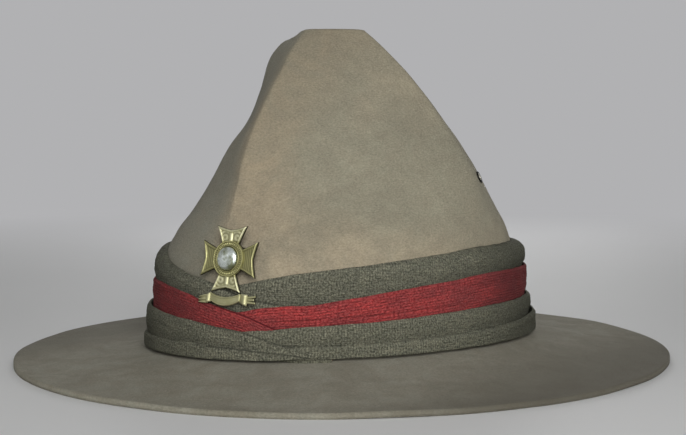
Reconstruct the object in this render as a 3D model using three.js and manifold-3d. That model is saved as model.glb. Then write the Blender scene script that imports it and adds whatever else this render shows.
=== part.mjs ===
// A lemon squeezer hat: one blocked felt body, a folded cloth puggaree in four folds round the
// crown, a cross badge on the front and two small ventilation eyelets.
//
// Millimetres, +Z up. The front of the hat faces -Y and the wearer's left is +X. The origin is
// the middle of the rim's flat underside, on which the hat rests. An azimuth is measured from
// the front towards the wearer's left, and from above it turns anticlockwise.

import * as THREE from 'three';
import { mergeVertices } from 'three/addons/utils/BufferGeometryUtils.js';
import Module from 'manifold-3d';

const wasm = await Module();
wasm.setup();

const FELT = 2.4;              // thickness of the felt
const GAP = 0.3;               // clearance between two pieces that lie together
const TURNS = 48;              // steps round the hat in every ring
const DRILL = { reach: 15, segments: 16 };  // a drill runs this far to both sides of the surface

// Crown sections from the headline up. front, left and right are the reach of the ridges, lean
// moves the section along LEAN_TOWARDS, and the two dent exponents run from an oval (2) to a
// section with flat panels between four ridges (1) and hollow ones (below 1).
const CROWN_SECTIONS = [
  { height: 5, front: 101.5, left: 87.0, right: 87.0, lean: -1.0, dentLeft: 2, dentRight: 2 },
  { height: 35, front: 101.0, left: 86.5, right: 86.5, lean: -1.0, dentLeft: 2, dentRight: 2 },
  { height: 50, front: 100.0, left: 85.5, right: 85.6, lean: -0.4, dentLeft: 2, dentRight: 2 },
  { height: 62, front: 97.2, left: 82.4, right: 83.0, lean: 0.9, dentLeft: 1.88, dentRight: 2 },
  { height: 75, front: 92.1, left: 79.2, right: 77.3, lean: 1.6, dentLeft: 1.58, dentRight: 1.82 },
  { height: 90, front: 86.0, left: 75.2, right: 71.7, lean: 1.2, dentLeft: 1.3, dentRight: 1.55 },
  { height: 105, front: 80.3, left: 67.8, right: 65.2, lean: 0.2, dentLeft: 1.15, dentRight: 1.32 },
  { height: 120, front: 69.7, left: 58.3, right: 53.3, lean: -1.6, dentLeft: 1.05, dentRight: 1.15 },
  { height: 135, front: 55.6, left: 49.2, right: 48.2, lean: -4.4, dentLeft: 0.98, dentRight: 1.02 },
  { height: 150, front: 40.2, left: 37.2, right: 40.0, lean: -7.0, dentLeft: 0.94, dentRight: 0.95 },
  { height: 160, front: 27.0, left: 27.8, right: 29.6, lean: -9.0, dentLeft: 0.92, dentRight: 0.92 },
  { height: 164.5, front: 19.2, left: 23.2, right: 23.4, lean: -10.2, dentLeft: 0.92, dentRight: 0.92 },
];
const LEAN_TOWARDS = { x: 0.6, y: 0.8 };
const BACK_REACH = 0.93;       // reach of the back ridge as a share of the front one
const RIDGE_SOFTNESS = 0.12;   // rounding of the ridges
const CAP_RISE = 1.8;          // rise of the small flat top above the last section
const CAP_TURNS = [62, 30];    // degrees up the rounding of that top where its rings lie

// Levels of the rings down the crown wall, closest where the puggaree's upper edge runs.
const WALL_LEVELS = [164.5, 157, 144, 130, 116, 103, 91, 79, 67, 56, 46, 32];

// The brim: an oval with a flat ring at its rim, rising to a break round the crown.
const BRIM = { front: 172.5, side: 163.5, flatRing: 9, curve: 1.35, edgeRound: 0.7 };
const BRIM_SHARES = [0.3, 0.65, 1];   // rings from the break to the flat ring
// The break: mean height, rise towards one side (an azimuth), and radius into the crown wall.
const BREAK = { height: 8.0, tilt: 4.0, towards: 75, radius: 6 };
const FILLET_TURNS = [0, 35, 57, 78];     // degrees round that radius where its rings lie

// Levels of the puggaree round the hat. Both sides run down to the front, where they cross.
const PUGGAREE_LEVELS = [
  { azimuth: -180, top: 57.5, redTop: 43.5, redBottom: 30.0, tuck: 18.5 },
  { azimuth: -125, top: 57.5, redTop: 41.0, redBottom: 28.0, tuck: 14.5 },
  { azimuth: -55, top: 56.0, redTop: 39.0, redBottom: 26.4, tuck: 13.5 },
  { azimuth: -20, top: 49.0, redTop: 38.6, redBottom: 26.8, tuck: 15.8 },
  { azimuth: 0, top: 45.0, redTop: 34.8, redBottom: 25.6, tuck: 16.4 },
  { azimuth: 10, top: 43.8, redTop: 32.4, redBottom: 24.0, tuck: 16.2 },
  { azimuth: 22, top: 48.2, redTop: 34.8, redBottom: 25.6, tuck: 17.2 },
  { azimuth: 50, top: 54.2, redTop: 41.6, redBottom: 28.8, tuck: 19.0 },
  { azimuth: 90, top: 58.4, redTop: 46.4, redBottom: 31.2, tuck: 21.4 },
  { azimuth: 125, top: 57.6, redTop: 46.0, redBottom: 32.0, tuck: 22.4 },
  { azimuth: 180, top: 57.5, redTop: 43.5, redBottom: 30.0, tuck: 18.5 },
];
const PUGGAREE_LIFT = 1.6;     // the puggaree stands this far above the break of the brim

// The four folds from the top down. Each lower one lies further out, over the one above.
const FOLDS = [
  { name: 'puggaree_upper_fold', top: 'top', bottom: 'redTop', thickness: 4.4, colour: 0x5f5d4c },
  { name: 'puggaree_red_fold', top: 'redTop', bottom: 'redBottom', thickness: 6.3, colour: 0x8c1f26 },
  { name: 'puggaree_lower_fold', top: 'redBottom', bottom: 'tuck', thickness: 8.9, colour: 0x5f5d4c },
  { name: 'puggaree_bottom_fold', top: 'tuck', bottom: 'bottom', thickness: 10.9, colour: 0x5f5d4c },
];
// Section of a fold: share of its height up from its lower edge, share of its thickness out.
const FOLD_SECTION = [
  { up: 0.0, out: 0.0 },
  { up: 0.0, out: 0.6 },
  { up: 0.25, out: 1.0 },
  { up: 0.75, out: 0.95 },
  { up: 1.0, out: 0.5 },
  { up: 1.0, out: 0.0 },
  { up: 0.67, out: 0.0 },
  { up: 0.33, out: 0.0 },
];
const FOLD_REFERENCE = 35;     // crown section that the thicknesses are measured from
const FOLD_GAP = 1.4 * GAP;    // clearance to the felt, at the corners of their facets

// The badge: a cross of four flared arms with a ring in the middle and a scroll below it.
const BADGE = {
  azimuth: 4.4, height: 54.9, tilt: 11, standOff: 4.6, thickness: 1.2, bevel: 0.3,
  armTip: 15.1, armWidth: 16.4, armRoot: 7.2, armWaist: 9.6, tipNotch: 1.8,
};
// The ring: it stands on the cross, with a sloped outer and inner edge round a sunk floor.
const RING = { radius: 8.1, inner: 5.7, rise: 1.1, edge: 0.4, floor: 0.3, foot: 0.2 };
// The scroll: a band that sags below the bottom arm, and a folded tail with a forked end each side.
const SCROLL = {
  halfBand: 9.2, bandDepth: 4.5, middleDrop: 19.7, bandRise: 3.3, thickness: 1.3,
  tailFrom: 7.4, tailTo: 15.0, tailDepth: 4.2, tailEndDepth: 2.9, tailDrop: 18.5, tailThickness: 0.9,
  fork: 1.5,
};
const BOSS = { radius: 5.3, rise: 2.0, base: 0.5, turns: [25, 50, 72] };
// Two posts on its back pass through the felt, and a straight pin through both holds it.
const POST = { radius: 1.1, hole: 1.5, spacing: 11, up: 4, length: 12.4, segments: 16 };
const PIN = { radius: 0.7, hole: 1.0, length: 17, inward: 10.3, segments: 12 };

// An eyelet in each side of the crown: a flange outside, and a barrel through the felt.
const EYELET = {
  azimuth: 96, height: 91, flange: 3.1, bore: 1.3, barrel: 1.9, flangeThickness: 0.7, length: 4.4,
  seat: 0.55, edge: 0.4, segments: 14,
};

const radians = (degrees) => degrees * Math.PI / 180;
const mix = (from, to, share) => from + (to - from) * share;

// Slope at each row of a table column that never overshoots the rows.
function columnSlopes(rows, key, column) {
  const steps = rows.slice(1).map((row, i) => (row[column] - rows[i][column]) / (row[key] - rows[i][key]));
  return rows.map((row, i) => {
    if (i === 0) return steps[0];
    if (i === rows.length - 1) return steps[steps.length - 1];
    const before = steps[i - 1];
    const after = steps[i];
    return before * after <= 0 ? 0 : 2 * before * after / (before + after);
  });
}

// Smooth reading of one column of a table between its rows.
function makeColumn(rows, key, column) {
  const slopes = columnSlopes(rows, key, column);
  return (at) => {
    let i = 0;
    while (i < rows.length - 2 && at > rows[i + 1][key]) i += 1;
    const width = rows[i + 1][key] - rows[i][key];
    const t = Math.min(1, Math.max(0, (at - rows[i][key]) / width));
    const rise = rows[i + 1][column] - rows[i][column];
    const bendIn = width * slopes[i];
    const bendOut = width * slopes[i + 1];
    const cubic = bendIn + bendOut - 2 * rise;
    const square = 3 * rise - 2 * bendIn - bendOut;
    return rows[i][column] + t * (bendIn + t * (square + t * cubic));
  };
}

function makeColumns(rows, key) {
  const names = Object.keys(rows[0]).filter((name) => name !== key);
  return Object.fromEntries(names.map((name) => [name, makeColumn(rows, key, name)]));
}

const crown = makeColumns(CROWN_SECTIONS, 'height');
const puggaree = makeColumns(PUGGAREE_LEVELS, 'azimuth');
const CROWN_TOP = CROWN_SECTIONS[CROWN_SECTIONS.length - 1].height;

// Reach of the crown's outer face at an azimuth and a height.
function crownReach(azimuth, height) {
  const front = crown.front(height);
  const x = Math.sin(azimuth) / (Math.sin(azimuth) > 0 ? crown.left(height) : crown.right(height));
  const y = Math.cos(azimuth) / (Math.cos(azimuth) > 0 ? front : front * BACK_REACH);
  const length = Math.hypot(x, y);
  const power = mix(crown.dentRight(height), crown.dentLeft(height), (1 + Math.sin(azimuth)) / 2);
  const soft = RIDGE_SOFTNESS ** 2;
  const part = (value) => (value * value + soft) ** (power / 2);
  const ridge = part(0) + part(1);
  return (ridge / (part(x / length) + part(y / length))) ** (1 / power) / length;
}

function onCrown(azimuth, height, extra = 0, level = height) {
  const reach = crownReach(azimuth, height) + extra;
  return aroundCentre(azimuth, height, reach, level);
}

// A point at a reach from the leaning centre of the section at a height.
function aroundCentre(azimuth, height, reach, level) {
  const lean = crown.lean(height);
  const x = lean * LEAN_TOWARDS.x + reach * Math.sin(azimuth);
  const y = lean * LEAN_TOWARDS.y - reach * Math.cos(azimuth);
  return new THREE.Vector3(x, y, level);
}

function breakHeight(azimuth) {
  return BREAK.height + BREAK.tilt * Math.cos(azimuth - radians(BREAK.towards));
}

// Level of the brim's top face, from the break (0) to where the flat ring begins (1).
function brimLevel(azimuth, share) {
  return FELT + (breakHeight(azimuth) - FELT) * (1 - Math.min(1, share)) ** BRIM.curve;
}

// A closed body from a list of rings and the two points that close its ends.
function closedBody(rings, firstPole, lastPole) {
  const count = rings[0].length;
  const points = [...rings.flat(), firstPole, lastPole];
  const faces = [];
  const first = points.length - 2;
  const last = points.length - 1;
  for (let turn = 0; turn < count; turn += 1) {
    const next = (turn + 1) % count;
    faces.push(first, turn, next);
    for (let ring = 0; ring < rings.length - 1; ring += 1) {
      const here = ring * count;
      const below = here + count;
      faces.push(here + turn, below + turn, here + next);
      faces.push(here + next, below + turn, below + next);
    }
    const end = (rings.length - 1) * count;
    faces.push(last, end + next, end + turn);
  }
  return bodyFrom(points, faces);
}

// A closed hoop from rings of the same number of points, the last joined to the first.
function closedHoop(rings) {
  const count = rings[0].length;
  const faces = [];
  rings.forEach((ring, index) => {
    const here = index * count;
    const below = ((index + 1) % rings.length) * count;
    for (let turn = 0; turn < count; turn += 1) {
      const next = (turn + 1) % count;
      faces.push(here + turn, below + turn, here + next);
      faces.push(here + next, below + turn, below + next);
    }
  });
  return bodyFrom(rings.flat(), faces);
}

function bodyFrom(points, faces) {
  const geometry = new THREE.BufferGeometry();
  geometry.setAttribute('position', new THREE.Float32BufferAttribute(points.flatMap((p) => p.toArray()), 3));
  geometry.setIndex(faces);
  return geometry;
}

function toManifold(geometry) {
  const bare = geometry.clone();
  bare.deleteAttribute('normal');
  bare.deleteAttribute('uv');
  const merged = mergeVertices(bare, 1e-5);
  return new wasm.Manifold(new wasm.Mesh({
    numProp: 3,
    vertProperties: new Float32Array(merged.attributes.position.array),
    triVerts: new Uint32Array(merged.index.array),
  }));
}

function fromManifold(solid) {
  const { vertProperties, triVerts } = solid.getMesh();
  const geometry = new THREE.BufferGeometry();
  geometry.setAttribute('position', new THREE.BufferAttribute(new Float32Array(vertProperties), 3));
  geometry.setIndex(new THREE.BufferAttribute(new Uint32Array(triVerts), 1));
  return geometry;
}

const azimuths = Array.from({ length: TURNS }, (_, i) => 2 * Math.PI * i / TURNS);

// Felt body --------------------------------------------------------------------------------

// Rings of the felt's outer face, from beside the top down to the start of the rim.
function feltRings() {
  const rings = [];
  for (const turn of CAP_TURNS) {
    const share = Math.cos(radians(turn));
    const level = CROWN_TOP + CAP_RISE * Math.sin(radians(turn));
    rings.push(azimuths.map((azimuth) => {
      const reach = crownReach(azimuth, CROWN_TOP) * share;
      return aroundCentre(azimuth, CROWN_TOP, reach, level);
    }));
  }
  for (const height of WALL_LEVELS) {
    rings.push(azimuths.map((azimuth) => onCrown(azimuth, height)));
  }
  for (const turn of FILLET_TURNS) {
    rings.push(azimuths.map((azimuth) => {
      const level = breakHeight(azimuth) + BREAK.radius * (1 - Math.sin(radians(turn)));
      return onCrown(azimuth, level, BREAK.radius * (1 - Math.cos(radians(turn))), level);
    }));
  }
  for (const share of BRIM_SHARES) {
    rings.push(azimuths.map((azimuth) => brimPoint(azimuth, share)));
  }
  rings.push(azimuths.map((azimuth) => rimPoint(azimuth, BRIM.edgeRound, FELT)));
  return rings;
}

// A point on the rim: inwards from the brim's outline, at a level.
function rimPoint(azimuth, inwards, level) {
  const x = (BRIM.side - inwards) * Math.sin(azimuth);
  const y = -(BRIM.front - inwards) * Math.cos(azimuth);
  return new THREE.Vector3(x, y, level);
}

function brimPoint(azimuth, share) {
  const inner = onCrown(azimuth, breakHeight(azimuth), BREAK.radius);
  const outer = rimPoint(azimuth, BRIM.flatRing, FELT);
  const point = inner.lerp(outer, share);
  point.z = brimLevel(azimuth, share);
  return point;
}

// The felt's inner face: each outer point moved in by the felt's thickness along its normal.
function innerRings(rings, pole) {
  return rings.map((ring, index) => ring.map((point, turn) => {
    const above = index > 0 ? rings[index - 1][turn] : pole;
    const below = rings[Math.min(index + 1, rings.length - 1)][turn];
    const before = ring[(turn + TURNS - 1) % TURNS];
    const after = ring[(turn + 1) % TURNS];
    const down = below.clone().sub(above);
    const round = after.clone().sub(before);
    const normal = down.cross(round).normalize();
    const inner = point.clone().addScaledVector(normal, -FELT);
    inner.z = Math.max(0, inner.z);
    return inner;
  }));
}

function makeFelt() {
  const outer = feltRings();
  const pole = aroundCentre(0, CROWN_TOP, 0, CROWN_TOP + CAP_RISE);
  const inner = innerRings(outer, pole);
  const innerPole = pole.clone();
  innerPole.z -= FELT;
  const edge = [
    azimuths.map((azimuth) => rimPoint(azimuth, 0, FELT - BRIM.edgeRound)),
    azimuths.map((azimuth) => rimPoint(azimuth, 0, BRIM.edgeRound)),
    azimuths.map((azimuth) => rimPoint(azimuth, BRIM.edgeRound, 0)),
  ];
  const under = inner.slice(0, -1).reverse();
  return closedBody([...outer, ...edge, ...under], pole, innerPole);
}

// Puggaree ---------------------------------------------------------------------------------

function foldLevel(level, azimuth) {
  if (level === 'bottom') return breakHeight(azimuth) + PUGGAREE_LIFT;
  const degrees = azimuth * 180 / Math.PI;
  return puggaree[level](degrees > 180 ? degrees - 360 : degrees);
}

// Reach of the felt's outer face with a clearance, the fillet above the break included.
function feltReach(azimuth, level) {
  const start = breakHeight(azimuth) + BREAK.radius;
  const depth = Math.max(0, start - level) / (BREAK.radius - GAP);
  const flare = (BREAK.radius - GAP) * (1 - Math.sqrt(Math.max(0, 1 - depth * depth)));
  return crownReach(azimuth, Math.max(level, start)) + flare + FOLD_GAP;
}

function makeFold(fold) {
  const rings = FOLD_SECTION.map(({ up, out }) => azimuths.map((azimuth) => {
    const low = foldLevel(fold.bottom, azimuth) + GAP / 2;
    const high = foldLevel(fold.top, azimuth) - GAP / 2;
    const level = mix(low, high, up);
    const outside = crownReach(azimuth, FOLD_REFERENCE) + fold.thickness;
    const reach = mix(feltReach(azimuth, level), outside, out);
    return aroundCentre(azimuth, level, reach, level);
  }));
  return closedHoop(rings.reverse());
}

// Badge ------------------------------------------------------------------------------------

// Frame of the badge: x across, y up the plate, z outwards from the hat.
function badgeFrame() {
  const azimuth = radians(BADGE.azimuth);
  const outward = new THREE.Vector3(Math.sin(azimuth), -Math.cos(azimuth), 0);
  const tilt = radians(BADGE.tilt);
  const normal = outward.multiplyScalar(Math.cos(tilt)).setZ(Math.sin(tilt));
  const across = new THREE.Vector3(Math.cos(azimuth), Math.sin(azimuth), 0);
  const upward = normal.clone().cross(across);
  const seat = onCrown(azimuth, BADGE.height).addScaledVector(normal, BADGE.standOff);
  return new THREE.Matrix4().makeBasis(across, upward, normal).setPosition(seat);
}

function crossShape() {
  const { armTip, armWidth, armRoot, armWaist, tipNotch } = BADGE;
  const shape = new THREE.Shape();
  for (let quarter = 0; quarter < 4; quarter += 1) {
    const turn = quarter * Math.PI / 2;
    const at = (x, y) => [x * Math.cos(turn) - y * Math.sin(turn), x * Math.sin(turn) + y * Math.cos(turn)];
    if (quarter === 0) shape.moveTo(...at(armRoot / 2, armRoot / 2));
    shape.quadraticCurveTo(...at(armWaist / 2, RING.radius), ...at(armWidth / 2, armTip));
    shape.lineTo(...at(0, armTip - tipNotch));
    shape.lineTo(...at(-armWidth / 2, armTip));
    shape.quadraticCurveTo(...at(-armWaist / 2, RING.radius), ...at(-armRoot / 2, armRoot / 2));
  }
  return shape;
}

function bandShape() {
  const { halfBand, bandDepth, middleDrop, bandRise } = SCROLL;
  const end = bandRise - middleDrop;
  const control = -middleDrop - bandRise;
  const half = bandDepth / 2;
  const shape = new THREE.Shape();
  shape.moveTo(-halfBand, end - half);
  shape.quadraticCurveTo(0, control - half, halfBand, end - half);
  shape.lineTo(halfBand, end + half);
  shape.quadraticCurveTo(0, control + half, -halfBand, end + half);
  shape.closePath();
  return shape;
}

function tailShape(side) {
  const { tailFrom, tailTo, tailDepth, tailEndDepth, tailDrop, fork } = SCROLL;
  const outline = [
    [tailFrom, tailDepth / 2], [tailFrom, -tailDepth / 2], [tailTo, -tailEndDepth / 2],
    [tailTo - fork, 0], [tailTo, tailEndDepth / 2],
  ];
  return new THREE.Shape(outline.map(([x, y]) => new THREE.Vector2(side * x, y - tailDrop)));
}

function extruded(shape, depth, bevel) {
  const geometry = new THREE.ExtrudeGeometry(shape, {
    depth: depth - 2 * bevel, bevelThickness: bevel, bevelSize: bevel, bevelOffset: -bevel,
    bevelSegments: 1, bevelEnabled: bevel > 0, curveSegments: 6, steps: 1,
  });
  geometry.translate(0, 0, bevel);
  return geometry;
}

// A turned piece about the badge's z axis from an outline of [radius, level] pairs.
function turned(outline, segments = 20) {
  const geometry = new THREE.LatheGeometry(outline.map(([r, z]) => new THREE.Vector2(r, z)), segments);
  geometry.rotateX(Math.PI / 2);
  return geometry;
}

function makeRing() {
  const { radius, inner, rise, edge, floor, foot } = RING;
  const top = BADGE.thickness + rise;
  const sunk = BADGE.thickness + floor;
  return turned([
    [0, foot], [radius, foot], [radius, top - edge], [radius - edge, top], [inner + edge, top],
    [inner, sunk], [0, sunk], [0, foot],
  ]);
}

// A plain round bar along the badge's z axis between two levels.
function bar(radius, low, high, segments) {
  return turned([[0, low], [radius, low], [radius, high], [0, high], [0, low]], segments);
}

function makeBadge() {
  let plate = toManifold(extruded(crossShape(), BADGE.thickness, BADGE.bevel));
  plate = plate.add(toManifold(makeRing()));
  plate = plate.add(toManifold(extruded(bandShape(), SCROLL.thickness, BADGE.bevel)));
  for (const side of [-1, 1]) {
    plate = plate.add(toManifold(extruded(tailShape(side), SCROLL.tailThickness, BADGE.bevel)));
    const post = bar(POST.radius, -POST.length, BADGE.thickness / 2, POST.segments);
    plate = plate.add(toManifold(post.translate(side * POST.spacing / 2, POST.up, 0)));
  }
  const hole = bar(PIN.hole, -PIN.length, PIN.length, PIN.segments);
  hole.rotateY(Math.PI / 2).translate(0, POST.up, -PIN.inward);
  return fromManifold(plate.subtract(toManifold(hole)));
}

function makeBoss() {
  const { radius, rise, base, turns } = BOSS;
  const seat = BADGE.thickness + RING.floor + GAP;
  const spring = seat + base;
  const dome = turns.map(radians).map((turn) => [radius * Math.cos(turn), spring + rise * Math.sin(turn)]);
  return turned([[0, seat], [radius, seat], [radius, spring], ...dome, [0, spring + rise], [0, seat]]);
}

function makePin() {
  const pin = bar(PIN.radius, -PIN.length / 2, PIN.length / 2, PIN.segments);
  return pin.rotateY(Math.PI / 2).translate(0, POST.up, -PIN.inward);
}

// Eyelets ----------------------------------------------------------------------------------

// Frame of an eyelet: z along the felt's outward normal, from the middle of the outer face.
function eyeletFrame(side) {
  const azimuth = radians(side * EYELET.azimuth);
  const step = 0.02;
  const round = onCrown(azimuth + step, EYELET.height).sub(onCrown(azimuth - step, EYELET.height));
  const up = onCrown(azimuth, EYELET.height + 1).sub(onCrown(azimuth, EYELET.height - 1));
  const normal = round.clone().cross(up).normalize();
  const across = up.clone().cross(normal).normalize();
  const matrix = new THREE.Matrix4().makeBasis(across, normal.clone().cross(across), normal);
  return matrix.setPosition(onCrown(azimuth, EYELET.height));
}

function makeEyelet() {
  const { flange, bore, barrel, flangeThickness, length, seat, edge, segments } = EYELET;
  const top = seat + flangeThickness;
  return turned([
    [bore, top - edge], [bore, seat - length], [barrel, seat - length], [barrel, seat], [flange, seat],
    [flange, top - edge], [flange - edge, top], [bore + edge, top], [bore, top - edge],
  ], segments);
}

// Assembly ---------------------------------------------------------------------------------

function bored(solid, frame, radius, place) {
  const drill = bar(radius, -DRILL.reach, DRILL.reach, DRILL.segments);
  drill.translate(place.x, place.y, 0).applyMatrix4(frame);
  return solid.subtract(toManifold(drill));
}

const finish = (name, colour, roughness, metalness) => new THREE.MeshStandardMaterial({
  name, color: colour, roughness, metalness,
});
const felt = finish('felt', 0x8f8468, 0.95, 0);
const brass = finish('brass', 0x9c8b4a, 0.4, 1);
const silver = finish('white_metal', 0xb9bdbf, 0.3, 1);
const dark = finish('dark_metal', 0x3a372f, 0.5, 1);

const hat = new THREE.Group();
function addPiece(name, geometry, material) {
  const mesh = new THREE.Mesh(geometry, material);
  mesh.name = name;
  hat.add(mesh);
}

const badgePlace = badgeFrame();
const eyeletPlaces = { eyelet_left: eyeletFrame(1), eyelet_right: eyeletFrame(-1) };

let feltSolid = toManifold(makeFelt());
for (const side of [-1, 1]) {
  const place = new THREE.Vector2(side * POST.spacing / 2, POST.up);
  feltSolid = bored(feltSolid, badgePlace, POST.hole, place);
}
for (const place of Object.values(eyeletPlaces)) {
  feltSolid = bored(feltSolid, place, EYELET.barrel + GAP, new THREE.Vector2(0, 0));
}
addPiece('felt_body', fromManifold(feltSolid), felt);

for (const fold of FOLDS) {
  addPiece(fold.name, makeFold(fold), finish(fold.name, fold.colour, 0.95, 0));
}

addPiece('badge_plate', makeBadge().applyMatrix4(badgePlace), brass);
addPiece('badge_boss', makeBoss().applyMatrix4(badgePlace), silver);
addPiece('badge_pin', makePin().applyMatrix4(badgePlace), brass);
for (const [name, place] of Object.entries(eyeletPlaces)) {
  addPiece(name, makeEyelet().applyMatrix4(place), dark);
}

export default hat;
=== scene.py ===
# A lemon squeezer hat lying on its brim: a blocked felt body, a puggaree of khaki and red wool
# wound round the crown in four folds, a cross badge on the front and two ventilation eyelets.
# The front faces -Y and the wearer's left is +X. An azimuth is measured from the front
# towards the wearer's left. Tables are in millimetres and degrees, and meshes in metres.

import math
from math import pi, radians, tau
from types import SimpleNamespace as Sizes

import bmesh
import bpy
import numpy as np
from mathutils import Matrix, Vector


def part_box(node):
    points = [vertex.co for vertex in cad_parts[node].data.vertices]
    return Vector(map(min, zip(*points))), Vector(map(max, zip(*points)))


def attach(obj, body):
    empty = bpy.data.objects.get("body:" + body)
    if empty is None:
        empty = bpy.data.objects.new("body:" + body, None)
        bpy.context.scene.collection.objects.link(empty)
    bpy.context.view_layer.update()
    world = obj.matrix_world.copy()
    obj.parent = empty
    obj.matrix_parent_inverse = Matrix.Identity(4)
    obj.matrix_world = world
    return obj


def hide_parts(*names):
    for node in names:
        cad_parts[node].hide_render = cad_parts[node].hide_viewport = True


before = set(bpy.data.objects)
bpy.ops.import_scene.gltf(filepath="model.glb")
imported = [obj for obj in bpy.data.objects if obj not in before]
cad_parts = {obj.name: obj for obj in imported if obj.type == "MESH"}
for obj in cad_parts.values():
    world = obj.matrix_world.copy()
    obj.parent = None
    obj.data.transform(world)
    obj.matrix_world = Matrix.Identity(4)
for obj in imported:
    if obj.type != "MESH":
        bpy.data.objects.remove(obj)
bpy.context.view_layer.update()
scene = bpy.context.scene
MM = 0.001


# ------------------------------------------------------------- the table
# The hat lies on a plain pale table. A soft lamp lights its front, two weaker ones its other side
# and its back, and a wide light and a pale room all of it. The eye is as high as the crown's middle.

EYE_AZIMUTH = radians(35)           # from the front, towards the wearer's left
EYE_DISTANCE = 0.6275
EYE_HEIGHT = 0.1022
EYE_SIDESTEP = -0.0016              # across the view, to its right
EYE_DROP = radians(3.008)           # how far the view looks down
LENS = 62.97
TABLE_SIZE = 60.0
TABLE_FADES = (0.25, 1.5)           # distances at which it starts and ends turning into the room


def rows_of(columns, *rows):
    """A table's rows, each a dictionary by the names of the columns."""
    return [dict(zip(columns.split(), row)) for row in rows]


# Where each lamp stands, how wide it is, its power, and how widely it shines.
LAMPS = rows_of(
    "name azimuth rise distance size power spread",
    ("key_lamp", 40, 20, 0.85, 0.4, 1.06, 100),
    ("fill_lamp", -27, 22, 1.6, 0.7, 0.7, 180),
    ("back_lamp", 212, 14, 1.6, 0.9, 2.4, 100),
)
# A wide soft light from the same side as the key lamp, which lights the table evenly.
WINDOW = {"azimuth": 42, "rise": 20, "spread": 30, "power": 1.15, "distance": 2.0}
# The room's own light, its look behind the table, and how much of that look metal mirrors.
ROOM_LIGHT = Sizes(colour=(0.90, 0.93, 0.96), strength=0.08,
                   seen=(0.44, 0.44, 0.45), mirrored=0.75)


def around(azimuth, distance, rise=0.0):
    """The point at a distance from the hat's middle, at an azimuth and an angle up."""
    level = distance * math.cos(rise)
    return Vector((level * math.sin(azimuth), -level * math.cos(azimuth), distance * math.sin(rise)))


def placed(name, data):
    """An object with this data, in the scene."""
    piece = bpy.data.objects.new(name, data)
    scene.collection.objects.link(piece)
    return piece


def aim(stand, lamp):
    """Puts a lamp on its stand and turns it towards the hat."""
    stand.location = around(radians(lamp["azimuth"]), lamp["distance"], radians(lamp["rise"]))
    stand.rotation_euler = stand.location.to_track_quat("Z", "Y").to_euler()


camera = placed("eye", bpy.data.cameras.new("eye"))
camera.data.lens = LENS
camera.data.clip_start = 0.01
sidestep = Vector((math.cos(EYE_AZIMUTH), math.sin(EYE_AZIMUTH), 0)) * EYE_SIDESTEP
camera.location = around(EYE_AZIMUTH, EYE_DISTANCE) + sidestep + Vector((0, 0, EYE_HEIGHT))
camera.rotation_euler = (pi / 2 - EYE_DROP, 0, EYE_AZIMUTH)
scene.camera = camera
scene.view_settings.view_transform = "Standard"

for lamp in LAMPS:
    light = bpy.data.lights.new(lamp["name"], "AREA")
    light.size = lamp["size"]
    light.energy = lamp["power"]
    light.spread = radians(lamp["spread"])
    stand = placed(lamp["name"], light)
    aim(stand, lamp)
    stand.visible_camera = False

window = placed("window", bpy.data.lights.new("window", "SUN"))
window.data.energy = WINDOW["power"]
window.data.angle = radians(WINDOW["spread"])
aim(window, WINDOW)


class Wire:
    """A socket of a node tree. Arithmetic on wires adds Math nodes, so a rule reads as a formula."""

    def __init__(self, recipe, socket):
        self.recipe = recipe
        self.socket = socket

    def math(self, operation, *others):
        sockets = dict(enumerate((self, *others)))
        return self.recipe.node("ShaderNodeMath", sockets, operation=operation)

    def sign(operation, turned=False):
        """The method behind an arithmetic sign; turned, where the wire stands to its right."""
        def method(self, other):
            sockets = {0: other, 1: self} if turned else {0: self, 1: other}
            return self.recipe.node("ShaderNodeMath", sockets, operation=operation)
        return method

    __add__ = __radd__ = sign("ADD")
    __mul__ = __rmul__ = sign("MULTIPLY")
    __sub__, __rsub__ = sign("SUBTRACT"), sign("SUBTRACT", turned=True)
    __truediv__, __rtruediv__ = sign("DIVIDE"), sign("DIVIDE", turned=True)
    __pow__ = sign("POWER")

    def share(self, low, high, **settings):
        """0 at low, 1 at high, straight between them and level beyond."""
        sockets = {"Value": self, "From Min": low, "From Max": high}
        return self.recipe.node("ShaderNodeMapRange", sockets, **settings)

    def ease(self, low, high):
        """The same, eased at both ends."""
        return self.share(low, high, interpolation_type="SMOOTHSTEP")

    def to(self, low, high):
        """low where the wire is 0 and high where it is 1."""
        return self * (high - low) + low

    def outputs(self):
        """Every output of the node that the wire comes from."""
        return [Wire(self.recipe, socket) for socket in self.socket.node.outputs]


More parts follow.
